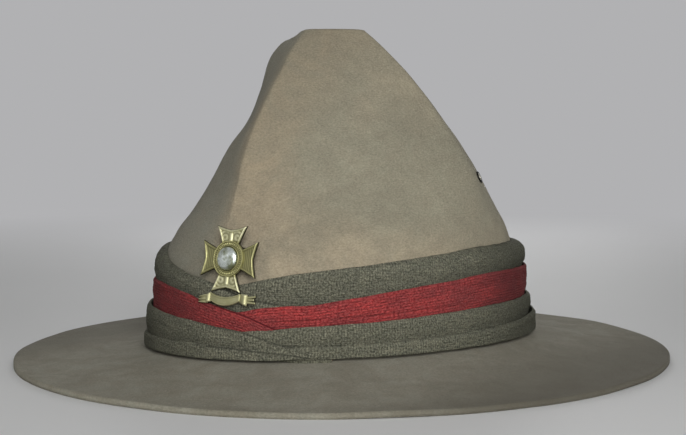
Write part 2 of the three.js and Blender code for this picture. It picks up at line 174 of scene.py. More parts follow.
class Recipe:
    """A node tree being written. node() adds any node: its settings first, then its sockets."""

    def __init__(self, tree):
        self.tree = tree
        tree.nodes.clear()

    def node(self, kind, sockets=None, out=0, points=None, **settings):
        node = self.tree.nodes.new(kind)
        for name, value in settings.items():
            setattr(node, name, value)
        for number, place in enumerate(points or []):
            curve = node.mapping.curves[0].points
            point = curve[number] if number < 2 else curve.new(*place)
            point.location = place
            point.handle_type = "AUTO_CLAMPED"
        if points:
            node.mapping.update()
        for name, value in (sockets or {}).items():
            self.join(value, node.inputs[name])
        return Wire(self, node.outputs[out]) if node.outputs else None

    def join(self, value, socket):
        if isinstance(value, Wire):
            self.tree.links.new(value.socket, socket)
        elif socket.type == "RGBA":
            socket.default_value = (*value, 1)
        else:
            socket.default_value = value

    def mix(self, share, first, second):
        """first where share is 0 and second where it is 1, both colours."""
        sockets = {0: share, 6: first, 7: second}
        return self.node("ShaderNodeMix", sockets, out=2, data_type="RGBA")

    def vary(self, ground, mask, low, high=(0.0, None)):
        """The ground with a share of a colour mixed in where mask is 0, and of another where it is 1."""
        first, second = [self.mix(share, ground, colour) if share else ground
                         for share, colour in (low, high)]
        return self.mix(mask, first, second)

    def noise(self, place, scale, detail=2.0, roughness=0.5, distortion=0.0, stretch=None):
        """Noise between 0 and 1. stretch scales its three directions, for grain that runs one way."""
        if stretch:
            place = self.vector("MULTIPLY", place, {1: stretch})
        sockets = {"Vector": place, "Scale": scale, "Detail": detail, "Roughness": roughness}
        return self.node("ShaderNodeTexNoise", {**sockets, "Distortion": distortion})

    def vector(self, operation, place, others=None, out=0):
        sockets = {0: place, **(others or {})}
        return self.node("ShaderNodeVectorMath", sockets, out=out, operation=operation)

    def split(self, place):
        """The three parts of a place."""
        return self.node("ShaderNodeSeparateXYZ", {0: place}).outputs()


def new_finish(name):
    """A material and the recipe of its nodes."""
    finish = bpy.data.materials.new(name)
    finish.use_nodes = True
    return finish, Recipe(finish.node_tree)


def coat(recipe, colour, roughness, bump=None, bump_depth=0.0, veil=None, **constants):
    """Ends a finish in one Principled surface. bump is a height from 0 to 1, bump_depth in metres,
    and veil the share and the colour of a glow that covers it."""
    sockets = {"Base Color": colour, "Roughness": roughness}
    if bump is not None:
        relief = {"Height": bump, "Distance": bump_depth, "Strength": 1.0}
        sockets["Normal"] = recipe.node("ShaderNodeBump", relief)
    sockets.update({name.replace("_", " "): value for name, value in constants.items()})
    surface = recipe.node("ShaderNodeBsdfPrincipled", sockets)
    if veil is not None:
        glow = recipe.node("ShaderNodeEmission", {"Color": veil[1]})
        surface = recipe.node("ShaderNodeMixShader", {0: veil[0], 1: surface, 2: glow})
    recipe.node("ShaderNodeOutputMaterial", {"Surface": surface})


# The room gives little light, but looks pale behind the table and in polished metal.
room = bpy.data.worlds.new("room")
room.use_nodes = True
sky = Recipe(room.node_tree)
dim = sky.node("ShaderNodeBackground", {"Color": ROOM_LIGHT.colour, "Strength": ROOM_LIGHT.strength})
pale = sky.node("ShaderNodeBackground", {"Color": ROOM_LIGHT.seen})
looked_at = sky.node("ShaderNodeLightPath", out="Is Camera Ray")
mirrored = sky.node("ShaderNodeLightPath", out="Is Glossy Ray")
share = looked_at.math("MAXIMUM", mirrored * ROOM_LIGHT.mirrored)
look = sky.node("ShaderNodeMixShader", {0: share, 1: dim, 2: pale})
sky.node("ShaderNodeOutputWorld", {"Surface": look})
scene.world = room

table_finish, paint = new_finish("pale_table")
place = paint.node("ShaderNodeTexCoord", out="Object")
cloud = paint.noise(place, 3.0, 3.0)
ground = paint.mix(cloud, (0.80, 0.80, 0.79), (0.85, 0.85, 0.84))
# Far from the hat the table turns into the pale room, so that no horizon shows.
far = paint.vector("LENGTH", place, out="Value").ease(*TABLE_FADES)
coat(paint, ground, 0.7, veil=(far, ROOM_LIGHT.seen))
table_mesh = bpy.data.meshes.new("table")
half = TABLE_SIZE / 2
corners = [(-half, -half, 0), (half, -half, 0), (half, half, 0), (-half, half, 0)]
table_mesh.from_pydata(corners, [], [(0, 1, 2, 3)])
table_mesh.materials.append(table_finish)
table = placed("table", table_mesh)


# ------------------------------------------------------------- felt body
# Crown and brim are one piece of wool felt, 2.4 mm thick, steamed over a block: four flat
# panels pinched between four ridges, a leaning peak with a small flat top, and a level oval
# brim. The blocking rule gives the outer face, and the felt's thickness is added inwards.

FELT = 2.4
# Crown sections from the headline up: reach of the ridges to the front and to both sides, lean
# of the middle, the dent of the panels (2 is an oval, 1 flat, less is hollow) on both sides, how
# soft the ridges are, how far the right ridge has slumped below the top, and the azimuth of the
# front ridge, which wanders a little, and how deep the panels are pinched in beside it.
CROWN = rows_of(
    "height front left right lean dent_left dent_right soft slump turn pinch",
    (5, 101.5, 87.0, 87.0, -1.0, 2, 2, 0.2, 0, -1.2, 0),
    (35, 101.0, 86.5, 86.5, -1.0, 2, 2, 0.2, 0, -1.2, 0),
    (50, 100.0, 85.5, 86.2, -0.4, 2, 2, 0.15, 0, -1.2, 0),
    (62, 97.2, 82.4, 85.8, 0.9, 1.91, 1.85, 0.105, 0, -1.4, 0.6),
    (75, 92.1, 79.2, 84.4, 1.6, 1.66, 1.55, 0.055, 0, -1.7, 2.0),
    (90, 86.0, 75.2, 79.8, 1.2, 1.42, 1.35, 0.034, 0, -1.8, 2.4),
    (105, 80.3, 67.8, 70.6, 0.2, 1.3, 1.25, 0.028, 0, -0.8, 2.0),
    (120, 69.7, 58.3, 56.0, -1.6, 1.22, 1.175, 0.025, 0, 0.0, 1.3),
    (135, 55.6, 49.2, 49.1, -4.4, 1.15, 1.125, 0.025, 0, 1.1, 0.7),
    (150, 40.2, 37.2, 42.6, -7.0, 1.1, 1.05, 0.028, 0, 2.6, 0.3),
    (160, 27.0, 27.8, 32.6, -9.0, 1.07, 0.97, 0.035, 0.2, 2.4, 0),
    (164.5, 19.2, 23.2, 24.2, -10.2, 1.06, 0.93, 0.04, 1.6, 0.4, 0),
)
PINCH = Sizes(width=6.0, ends=(14.0, 52.0))    # distances round the crown from the front ridge
LEAN = (0.6, 0.8)                   # the direction that the sections lean in
BACK_REACH = 0.93                   # reach of the back ridge as a share of the front one
CAP_RISE = 1.8                      # rise of the small flat top
# The brim's reach, its flat rim and its rise to the break, and how it lifts off the table in places.
BRIM = Sizes(front=172.5, side=163.5, flat=9.0, curve=1.35,
             lift=0.5, lifts_where=(0.45, 0.75), lifts_below=(3.0, 12.0))
RIM = Sizes(round=0.6, segments=3, sharper_than=50)
# The break, where the crown turns out into the brim, rises towards one side.
BREAK = Sizes(height=8.0, tilt=4.0, towards=75, radius=6.0)
# Shares of the profile, from the top down, at which the cap, wall and fillet end.
PROFILE = Sizes(cap=0.06, wall=0.72, fillet=0.77, flat=0.965)
FELT_GRID = Sizes(turns=256, rows=150, gather=0.6)
DENTS = Sizes(scale=0.021, depth=0.9, small_scale=0.07, small_depth=0.35, above=(62.0, 95.0))


def new_tree(name, inputs, outputs):
    """An empty Geometry Nodes tree, its recipe, and its inputs as wires."""
    tree = bpy.data.node_groups.new(name, "GeometryNodeTree")
    recipe = Recipe(tree)
    for label, (kind, value) in inputs.items():
        socket = tree.interface.new_socket(name=label, in_out="INPUT", socket_type=kind)
        if value is not None:
            socket.default_value = value
    for label, kind in outputs.items():
        tree.interface.new_socket(name=label, in_out="OUTPUT", socket_type=kind)
    start = tree.nodes.new("NodeGroupInput")
    return tree, recipe, {label: Wire(recipe, start.outputs[label]) for label in inputs}


def column(recipe, rows, name, at):
    """A smooth reading of one column of a table, at a wire that runs along its first column."""
    key = next(iter(rows[0]))
    first, last = rows[0][key], rows[-1][key]
    low = min(row[name] for row in rows)
    span = max(max(row[name] for row in rows) - low, 1e-6)
    points = [((row[key] - first) / (last - first), (row[name] - low) / span) for row in rows]
    points = [points[0], points[-1], *points[1:-1]]
    share = at.share(first, last)
    curve = recipe.node("ShaderNodeFloatCurve", {"Value": share}, points=points)
    return curve * span + low


def make_crown_rule():
    """A node group: the crown's reach and lean, at an azimuth and a height in millimetres."""
    number = "NodeSocketFloat"
    tree, rule, given = new_tree(
        "crown_rule",
        {"Azimuth": (number, 0.0), "Height": (number, 0.0)},
        {"Reach": number, "Lean": number, "Slump": number},
    )
    at = {name: column(rule, CROWN, name, given["Height"]) for name in CROWN[0] if name != "height"}
    near_front = (given["Azimuth"].math("COSINE") * 0.5 + 0.5) ** 2.0
    azimuth = given["Azimuth"] - at["turn"] * near_front * radians(1)
    sine = azimuth.math("SINE")
    cosine = azimuth.math("COSINE")
    on_left = sine.math("GREATER_THAN", 0.0)
    in_front = cosine.math("GREATER_THAN", 0.0)
    x = sine / on_left.to(at["right"], at["left"])
    y = cosine / (at["front"] * in_front.to(BACK_REACH, 1.0))
    length = (x * x + y * y).math("SQRT")
    power = (sine * 0.5 + 0.5).to(at["dent_right"], at["dent_left"])
    soft = at["soft"] * at["soft"]

    def part(value):
        return (value * value + soft) ** (power * 0.5)

    ridge = soft ** (power * 0.5) + (soft + 1.0) ** (power * 0.5)
    reach = (ridge / (part(x / length) + part(y / length))) ** (1.0 / power) / length
    beside = azimuth.math("PINGPONG", pi) * at["front"]
    pinched = (1.0 - (beside / -PINCH.width).math("EXPONENT")) * (1.0 - beside.ease(*PINCH.ends))
    reach = reach - at["pinch"] * pinched
    slump = at["slump"] * (0.0 - sine).math("MAXIMUM", 0.0) ** 3.0
    rule.node("NodeGroupOutput", {"Reach": reach, "Lean": at["lean"], "Slump": slump})
    return tree


crown_rule = make_crown_rule()


def crown_at(recipe, azimuth, height):
    """The crown's reach, lean and slump, as wires."""
    sockets = {"Azimuth": azimuth, "Height": height}
    return recipe.node("GeometryNodeGroup", sockets, node_tree=crown_rule).outputs()


def break_height(azimuth):
    """The level where the crown's wall turns out into the brim."""
    return (azimuth - radians(BREAK.towards)).math("COSINE") * BREAK.tilt + BREAK.height


def finish_tree(recipe, geometry, material):
    """The last nodes of every tree: metres, smooth faces, no instances left, and the material."""
    sized = recipe.node("GeometryNodeTransform", {"Geometry": geometry, "Scale": (MM, MM, MM)})
    smooth = recipe.node("GeometryNodeSetShadeSmooth", {"Geometry": sized})
    real = recipe.node("GeometryNodeRealizeInstances", {"Geometry": smooth})
    painted = recipe.node("GeometryNodeSetMaterial", {"Geometry": real, "Material": material})
    recipe.node("NodeGroupOutput", {"Geometry": painted})


def grid_of(recipe, columns, rows):
    """A grid, and its two shares from 0 to 1 as wires."""
    sockets = {"Size X": 1.0, "Size Y": 1.0, "Vertices X": columns, "Vertices Y": rows}
    mesh = recipe.node("GeometryNodeMeshGrid", sockets)
    x, y, _ = recipe.split(recipe.node("GeometryNodeInputPosition"))
    return mesh, x + 0.5, y + 0.5


def make_felt_tree(material):
    """The outer face of the crown and the brim, from a grid: turn runs round it, and down its profile."""
    whole, number, shape = "NodeSocketInt", "NodeSocketFloat", "NodeSocketGeometry"
    inputs = {
        "Turns": (whole, FELT_GRID.turns), "Rows": (whole, FELT_GRID.rows),
        "Brim front": (number, BRIM.front), "Brim side": (number, BRIM.side),
        "Break radius": (number, BREAK.radius), "Cap rise": (number, CAP_RISE),
        "Dent depth": (number, DENTS.depth), "Brim lift": (number, BRIM.lift),
    }
    tree, felt, given = new_tree("blocked_felt", inputs, {"Geometry": shape})
    mesh, turn, down = grid_of(felt, given["Turns"], given["Rows"])
    # The columns gather towards the four ridges, which keeps them crisp.
    azimuth = turn * tau - (turn * (tau * 4)).math("SINE") * (FELT_GRID.gather / 4)
    radius = given["Break radius"]
    broken = break_height(azimuth)
    top = CROWN[-1]["height"]
    height = down.share(PROFILE.cap, PROFILE.wall).to(top, broken + radius)
    reach, lean, slump = crown_at(felt, azimuth, height)
    cap = (1.0 - down.share(0.0, PROFILE.cap)) * (pi / 2)
    fillet = down.share(PROFILE.wall, PROFILE.fillet) * (pi / 2)
    reach = reach * cap.math("COSINE") + radius * (1.0 - fillet.math("COSINE"))
    wall_level = height + cap.math("SINE") * given["Cap rise"] - radius * fillet.math("SINE")
    wall_level = wall_level - slump * cap.math("COSINE")
    sine = azimuth.math("SINE")
    cosine = azimuth.math("COSINE")
    across = down.share(PROFILE.fillet, PROFILE.flat)
    outward = down.share(PROFILE.flat, 1.0)
    inset = (1.0 - outward) * BRIM.flat
    x = across.to(lean * LEAN[0] + reach * sine, (given["Brim side"] - inset) * sine)
    y = across.to(lean * LEAN[1] - reach * cosine, (inset - given["Brim front"]) * cosine)
    brim_level = (1.0 - across) ** BRIM.curve * (broken - FELT) + FELT
    on_brim = down.math("GREATER_THAN", PROFILE.fillet)
    level = on_brim.to(wall_level, brim_level)
    point = felt.node("ShaderNodeCombineXYZ", {0: x, 1: y, 2: level})
    blocked = felt.node("GeometryNodeSetPosition", {"Geometry": mesh, "Position": point})
    outwards = felt.node("GeometryNodeFlipFaces", {"Mesh": blocked})
    merged = felt.node("GeometryNodeMergeByDistance", {"Geometry": outwards, "Distance": 0.01})
    # Hand wear: wide shallow dents in the crown, and a brim that lifts a little off the table.
    spot = felt.node("GeometryNodeInputPosition")
    level = felt.split(spot)[2]
    wide = felt.noise(spot, DENTS.scale, 1.0) - 0.5
    small = felt.noise(spot, DENTS.small_scale, 1.0) - 0.5
    dent = (wide * given["Dent depth"] + small * DENTS.small_depth) * level.ease(*DENTS.above)
    lift = felt.noise(spot, DENTS.scale, 0.0).share(*BRIM.lifts_where) * given["Brim lift"]
    amount = dent + lift * (1.0 - level.ease(*BRIM.lifts_below))
    offset = felt.vector("SCALE", felt.node("GeometryNodeInputNormal"), {"Scale": amount})
    worn = felt.node("GeometryNodeSetPosition", {"Geometry": merged, "Offset": offset})
    finish_tree(felt, worn, material)
    return tree


def modify(piece, kind, **settings):
    """Adds a modifier to a piece, with its settings."""
    modifier = piece.modifiers.new(kind.lower(), kind)
    for name, value in settings.items():
        setattr(modifier, name, value)
    return modifier


def grown(name, tree):
    """An object whose mesh a tree makes. Its inputs are set by their sockets' identifiers."""
    piece = placed(name, bpy.data.meshes.new(name))
    modifier = modify(piece, "NODES", node_group=tree)
    for item in tree.interface.items_tree:
        if item.in_out == "INPUT":
            modifier[item.identifier] = item.default_value
    return piece


def settle(piece):
    """Turns what a piece's modifiers make into its own plain mesh, and takes the modifiers off."""
    bpy.context.view_layer.update()
    state = bpy.context.evaluated_depsgraph_get()
    seen = piece.evaluated_get(state)
    mesh = bpy.data.meshes.new_from_object(seen, preserve_all_data_layers=True, depsgraph=state)
    mesh.name = piece.name
    while mesh.materials and mesh.materials[0] is None:
        mesh.materials.pop(index=0)
    piece.modifiers.clear()
    piece.data = mesh
    return piece


felt_finish, wool = new_finish("hat_felt")
place = wool.node("ShaderNodeTexCoord", out="Object")
sideways, _, height = wool.split(place)
patches = wool.noise(place, 17.0, 2.0, 0.5).share(0.40, 0.60)
cloudy = wool.noise(place, 44.0, 5.0, 0.62, distortion=0.9).share(0.36, 0.64)
mottle = wool.noise(place, 130.0, 4.0, 0.62, stretch=(1.0, 1.0, 1.4)).share(0.34, 0.68)
fibre = wool.noise(place, 1000.0, 3.0, 0.7, stretch=(1.0, 1.0, 1.5)).share(0.30, 0.70)
# Olive in the body, tan where hands and the block have rubbed it: on the front ridge, where the
# tan is also a painted highlight, and low down. The right-hand panels are greyer and darker with
# painted shade, and the brim is greyer and darker too.
# Along the middle of the crown, high up, the felt is painted tan and browner: wear, and on the front
# ridge a painted highlight.
ridge = sideways.ease(-0.012, 0.0) * (1.0 - sideways.ease(0.006, 0.030)) * height.ease(0.05, 0.09)
low_band = (1.0 - height.ease(0.058, 0.085)) * height.ease(0.035, 0.045)
low_band = low_band * sideways.ease(-0.030, 0.006)
rubbed_and_highlit = ridge * 0.6 + low_band * 0.7 + patches * 0.7 - 0.25
rubbed_and_highlit = rubbed_and_highlit.math("MINIMUM", 1.0).math("MAXIMUM", 0.0)
# Painted shade: the wearer's right-hand panels are painted greyer and darker, and the brim is painted
# greyer and darker too.
painted_shade_right_and_grey_brim = (1.0 - sideways.ease(-0.018, -0.001)).math("MAXIMUM", 1.0 - height.ease(0.020, 0.035))
ground = wool.mix(rubbed_and_highlit, (0.305, 0.288, 0.206), (0.420, 0.345, 0.232))
ground = wool.mix(ridge * 0.5, ground, (0.285, 0.221, 0.136))
ground = wool.mix(painted_shade_right_and_grey_brim, ground, wool.mix(0.90, ground, (0.200, 0.206, 0.165)))
ground = wool.vary(ground, cloudy, (0.52, (0.185, 0.180, 0.130)))
ground = wool.vary(ground, mottle, (0.40, (0.19, 0.160, 0.112)))
ground = wool.vary(ground, fibre, (0.36, (0.14, 0.125, 0.09)), (0.16, (0.75, 0.68, 0.55)))
# Dust and dirt lie in patches on the brim.
on_brim = 1.0 - height.ease(0.014, 0.030)
dusty = wool.noise(place, 60.0, 6.0, 0.68, distortion=0.6).share(0.38, 0.62)
dirty = wool.vary(ground, dusty, (0.30, (0.16, 0.135, 0.10)), (0.12, (0.62, 0.60, 0.52)))
ground = wool.mix(on_brim * 0.8, ground, dirty)
# The brim is painted darker towards both sides: painted shade.
left_brim_shade = sideways.ease(0.085, 0.150) * 0.80
right_brim_shade = (1.0 - sideways.ease(-0.140, -0.080)) * 0.55
ground = wool.mix(on_brim * left_brim_shade.math("MAXIMUM", right_brim_shade), ground, (0.09, 0.082, 0.062))
nap = wool.noise(place, 560.0, 5.0, 0.75)
coat(wool, ground, nap.to(0.86, 0.98), nap * 0.65 + fibre * 0.35, 0.0006,
     Sheen_Weight=0.12, Sheen_Roughness=0.5, Sheen_Tint=(0.8, 0.76, 0.66), Specular_IOR_Level=0.1)

felt_body = grown("blocked_felt", make_felt_tree(felt_finish))
modify(felt_body, "SOLIDIFY", thickness=FELT * MM, offset=-1, use_even_offset=True,
       use_quality_normals=True)
modify(felt_body, "BEVEL", width=RIM.round * MM, segments=RIM.segments, limit_method="ANGLE",
       angle_limit=radians(RIM.sharper_than))
settle(felt_body)
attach(felt_body, "root")
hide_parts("felt_body")


# -------------------------------------------------------------- puggaree
# One long pleated wool cloth, wound once round the crown from under its own end at the front:
# three khaki folds and a red one. Each fold is doubled cloth with a rolled upper edge, and its
# lower part is tucked behind the next fold. The end lies over the start, its folds run out
# downwards one behind the other, and a few hidden stitches hold them to the felt.

# Levels of the folds' upper edges along the winding. The azimuth runs on past a full turn, and
# snug draws the lowest fold in, where it lies flat against the one above. The upper fold is
# fuller in places, and the red one drawn in.
WINDING = rows_of(
    "azimuth top red_top red_bottom tuck snug full drawn",
    (-14, 37, 27, 19.5, 12.5, 1.2, 0, 0.1),
    (0, 41, 29.8, 21.6, 14.2, 1.2, 0, 0.1),
    (9, 44.3, 32, 23.2, 15.4, 1.2, 0, 0.1),
    (20, 48.4, 35.2, 25.3, 16.8, 1.2, 0, 0),
    (26, 49.8, 35.6, 26.4, 17.4, 1.2, 0, 0),
    (31, 50.8, 36.9, 26.8, 17.7, 1.2, 0.1, 0),
    (36, 51.6, 38.2, 27.3, 18, 1.1, 0.1, 0),
    (51, 54.3, 41.9, 28.8, 19, 0.9, 0.3, 0),
    (66, 56.2, 44.2, 30.1, 20, 0.5, 0.6, 0),
    (90, 58.4, 46.5, 31.2, 21.4, 0, 1.1, 0),
    (125, 58.2, 45.5, 31, 22.4, -0.4, 1.3, 0),
    (180, 57.5, 43.5, 30, 18.5, -0.3, 1, 0.3),
    (235, 57.5, 41, 28.6, 14.5, 0, 0.8, 0.7),
    (305, 57.4, 41, 28.4, 14.2, 0.9, 0.4, 1.1),
    (322, 55, 41.1, 28.3, 14.7, 1.1, 0.3, 1.2),
    (334, 50.9, 41.2, 28.2, 15.2, 1.1, 0.2, 1.1),
    (341.5, 48.7, 40.3, 27.5, 15.8, 1.1, 0.1, 0.9),
    (349, 47, 39.2, 27.2, 16.2, 1.1, 0, 0.6),
    (355.5, 45.3, 36.8, 26.5, 16.5, 1.1, 0, 0.4),
    (362, 42.5, 34.3, 25.2, 16.4, 1, 0, 0.2),
    (369.5, 38.3, 31, 23.6, 16, 0.9, 0, 0.1),
    (377.8, 35.8, 25.4, 19.4, 15.2, 0.7, 0, 0),
    (383, 34.4, 22, 17.4, 14.2, 0.5, 0, 0),
    (392, 32.5, 18, 15, 11.8, 0.4, 0, 0),
)
WOUND = Sizes(start=-14.0, end=392.0, headline=35.0, radius=105, hem=1.3, lap=4.0, press=1.0)
# Cloth sinks in behind the next fold's edge between these distances from it, which takes a share
# of its fullness and of its lumps.
SUNK = Sizes(between=(-1.5, 4.5), less_full=0.8, less_lumpy=0.7)
# Where the start lies under the end, each of them takes half of the fold's thickness. Where the
# end's upper edge lies over the start, that edge gets a painted shade line.
OVERLAP = Sizes(start_free=(30.0, 50.0), end_lifts=(338.0, 356.0), end_flattens=(372.0, 384.0),
                hem_rises=(376.0, 391.0), hem_rise=1.2, share=0.48, edge_shows=(356.0, 364.0))
# The folds from the top down: the columns of their upper and lower edges and of their changing
# stand-off, how far the outer face stands off the crown, the thickness of the doubled cloth, the
# depth of its rolled edge, and its foot's as a share of that, how much its two faces follow the
# crown's slope, its ribs, its mesh's rows, and how flat its end is.
PLAIN_FOLD = {"foot": 0.7, "fuller": None, "drawn_in": None, "follow": 0.0, "follow_in": 0.0,
              "rib": 0.0, "rows": 72, "finish": "khaki_wool", "flatten": 0.0}
FOLDS = [
    {**PLAIN_FOLD, "piece": "upper_fold", "node": "puggaree_upper_fold",
     "top": "top", "low": "red_top", "out": 4.7, "thick": 4.5, "roll": 5.5,
     "fuller": "full", "follow": 0.72, "follow_in": 1.0, "flatten": 0.65},
    {**PLAIN_FOLD, "piece": "red_fold", "node": "puggaree_red_fold",
     "top": "red_top", "low": "red_bottom", "out": 6.4, "thick": 1.3, "roll": 1.6,
     "drawn_in": "drawn", "rib": 0.06, "rows": 168, "finish": "red_wool", "flatten": 0.3},
    {**PLAIN_FOLD, "piece": "lower_fold", "node": "puggaree_lower_fold",
     "top": "red_bottom", "low": "tuck", "out": 8.7, "thick": 2.5, "roll": 3.2},
    {**PLAIN_FOLD, "piece": "bottom_fold", "node": "puggaree_bottom_fold",
     "top": "tuck", "low": None, "out": 11.0, "thick": 1.9, "roll": 2.4,
     "foot": 0.35, "drawn_in": "snug"},
]
FOLD_COLUMNS = 420
OUTER_SHARE = 0.8                   # share of a section's rows that lie on its outer face
RIB_PITCH = 1.25
KHAKI_WEAVE = Sizes(wale=1.25, course=1.0)    # pitches along the cloth and up it
CLOTH_RADIUS = 100.0                # where the cloth's own measure along the winding is taken
# The winding's azimuths between which the cloth keeps its full colour; on its sides and back it
# is painted darker, a painted shade.
UNSHADED = Sizes(starts=(-30.0, 15.0), stops=(64.0, 102.0), again=(330.0, 375.0))
# A sharp pleat along the start of the red fold, above its lower edge.
PLEAT = Sizes(above=2.6, width=0.9, depth=0.8, starts=(14.0, 24.0), stops=(56.0, 76.0))
# Scales and depths of the cloth's unevenness, the azimuths between which its wrinkles get calmer,
# and the climb that makes it differ where two layers overlap.
PUCKER = Sizes(wave=3.0, wave_depth=1.1, lump=0.08, lump_depth=1.8, edge=9.0, edge_depth=0.9,
               wrinkle=0.11, wrinkle_depth=3.4, calmer=(60.0, 110.0), calm=0.4, climb=0.004)


def make_fold_tree(fold, material):
    """One fold, from a grid whose rows run round its section and whose columns along the winding."""
    whole, number, shape = "NodeSocketInt", "NodeSocketFloat", "NodeSocketGeometry"
    inputs = {
        "Columns": (whole, FOLD_COLUMNS), "Rows": (whole, fold["rows"]),
        "Stand off": (number, fold["out"]), "Thickness": (number, fold["thick"]),
        "Roll": (number, fold["roll"]), "Lap": (number, WOUND.lap),
        "Rib depth": (number, fold["rib"]), "Rib pitch": (number, RIB_PITCH),
        "Seed": (number, fold["out"]),
    }
    tree, cloth, given = new_tree(fold["piece"], inputs, {"Geometry": shape})
    mesh, along, around_section = grid_of(cloth, given["Columns"], given["Rows"])
    degrees = along.to(WOUND.start, WOUND.end)
    azimuth = degrees * radians(1)
    sine = azimuth.math("SINE")
    cosine = azimuth.math("COSINE")
    ring = cloth.node("ShaderNodeCombineXYZ", {0: sine, 1: cosine, 2: degrees * PUCKER.climb})

    def winding(name):
        return column(cloth, WINDING, name, degrees)

    # Section: down the outer face, then back up the inner one. The outer face rolls in to the inner.
    outer = around_section.share(0.0, OUTER_SHARE)
    inner = around_section.share(OUTER_SHARE, 1.0)
    on_outer = around_section.math("LESS_THAN", OUTER_SHARE)
    up = ((outer - inner) * pi).math("COSINE") * 0.5 + 0.5
    ragged = (cloth.noise(ring, PUCKER.edge, 3.0) - 0.5) * PUCKER.edge_depth
    top = winding(fold["top"]) + ragged
    if fold["low"]:
        hidden_from = winding(fold["low"])
        low = hidden_from - given["Lap"]
    else:
        low = break_height(azimuth) + WOUND.hem + ragged * 0.8
        low = low + degrees.ease(*OVERLAP.hem_rises) * OVERLAP.hem_rise
        hidden_from = low - 10.0
    height = (top - low).math("MAXIMUM", 0.1)
    level = up * height + low
    start_under = 1.0 - degrees.ease(*OVERLAP.start_free)
    end_over = degrees.ease(*OVERLAP.end_lifts)
    spent = degrees.ease(*OVERLAP.end_flattens) * fold["flatten"]
    thin = 1.0 - (start_under + end_over) * (1 - OVERLAP.share)
    thin = thin * height.share(0.0, given["Roll"]) * (1.0 - spent)
    # The cloth sinks in behind the next fold, and the start and the end share the thickness.
    sunk = 1.0 - (level - hidden_from).ease(*SUNK.between)
    thickness = given["Thickness"]
    if fold["fuller"]:
        thickness = thickness + winding(fold["fuller"]) * (1.0 - sunk * SUNK.less_full)
    depth = thickness * thin
    from_top = ((1.0 - up) * height / (given["Roll"] * thin)).math("MINIMUM", 1.0)
    from_low = (up * height / (given["Roll"] * thin * fold["foot"])).math("MINIMUM", 1.0)
    rolled = (1.0 - (1.0 - from_top) ** 2.0) * (1.0 - (1.0 - from_low) ** 2.0)
    rolled = rolled.math("MAXIMUM", 0.0).math("SQRT")
    ends = degrees.share(WOUND.start, WOUND.start + 1.0)
    ends = ends * (1.0 - degrees.share(WOUND.end - 1.0, WOUND.end))
    through = on_outer * depth * rolled * ends.to(0.1, 1.0).math("SQRT")
    back = given["Stand off"] - given["Thickness"] - sunk * WOUND.press
    back = back + end_over * given["Thickness"] * (1 - OVERLAP.share)
    if fold["drawn_in"]:
        back = back - winding(fold["drawn_in"]) * (1.0 - sunk * SUNK.less_full)
    wave = (cloth.noise(ring, PUCKER.wave, 1.0) - 0.5) * PUCKER.wave_depth
    lift = cloth.node("ShaderNodeCombineXYZ", {2: level * 1.8 + given["Seed"] * 40.0})
    spot = cloth.vector("ADD", cloth.vector("SCALE", ring, {"Scale": CLOTH_RADIUS}), {1: lift})
    lump = (cloth.noise(spot, PUCKER.lump, 3.0, 0.5) - 0.5) * PUCKER.lump_depth
    wrinkle = cloth.noise(spot, PUCKER.wrinkle, 4.0, 0.6, stretch=(0.35, 0.35, 1.0))
    wrinkle = (wrinkle - 0.5).math("ABSOLUTE") * -PUCKER.wrinkle_depth
    lump = lump + wrinkle * (1.0 - degrees.ease(*PUCKER.calmer) * PUCKER.calm)
    rib = ((top - level) * tau / given["Rib pitch"]).math("COSINE") * given["Rib depth"]
    pleat = 0.0
    if fold["rib"]:
        window = degrees.ease(*PLEAT.starts) * (1.0 - degrees.ease(*PLEAT.stops))
        off = ((level - hidden_from - PLEAT.above) / PLEAT.width).math("ABSOLUTE")
        pleat = (1.0 - off.ease(0.0, 1.0)) * window * -PLEAT.depth
    relief = (lump * thin * (1.0 - sunk * SUNK.less_lumpy) + rib + pleat) * on_outer * rolled * ends
    wall, lean, _ = crown_at(cloth, azimuth, level.math("MAXIMUM", WOUND.headline))
    headline = crown_at(cloth, azimuth, WOUND.headline)[0]
    follow = (on_outer * rolled).to(fold["follow_in"], fold["follow"])
    reach = headline + (wall - headline) * follow + back + wave + through + relief
    point = cloth.node("ShaderNodeCombineXYZ", {
        0: lean * LEAN[0] + reach * sine,
        1: lean * LEAN[1] - reach * cosine,
        2: level,
    })
    # The cloth's own measure, for its weave: along it, up it, and down from its rolled edge.
    flat = cloth.node("ShaderNodeCombineXYZ", {0: azimuth * CLOTH_RADIUS, 1: level, 2: top - level})
    mark = {"Geometry": mesh, "Name": "cloth", "Value": flat}
    marked = cloth.node("GeometryNodeStoreNamedAttribute", mark, data_type="FLOAT_VECTOR", domain="POINT")
    wound = cloth.node("GeometryNodeSetPosition", {"Geometry": marked, "Position": point})
    outwards = cloth.node("GeometryNodeFlipFaces", {"Mesh": wound})
    merged = cloth.node("GeometryNodeMergeByDistance", {"Geometry": outwards, "Distance": 0.001})
    finish_tree(cloth, merged, material)
    return tree


def cloth_place(recipe):
    """The cloth's own measure in millimetres, and its three parts."""
    place = recipe.node("ShaderNodeAttribute", attribute_name="cloth", out=1)
    return [place, *recipe.split(place)]


def unshaded_front(recipe, along):
    """1 in front, where the cloth keeps its full colour, and 0 on its sides and back, which get painted
    shade.
    """
    degrees = along * math.degrees(1 / CLOTH_RADIUS)
    return degrees.ease(*UNSHADED.starts) * (1.0 - degrees.ease(*UNSHADED.stops)) + degrees.ease(*UNSHADED.again)


def lapped_edge_shade(recipe, along, down_cloth):
    """1 along the upper edges where the winding's end lies over its start, which get a painted shade
    line.
    """
    degrees = along * math.degrees(1 / CLOTH_RADIUS)
    return degrees.ease(*OVERLAP.edge_shows) * (1.0 - down_cloth.ease(0.3, 1.0))


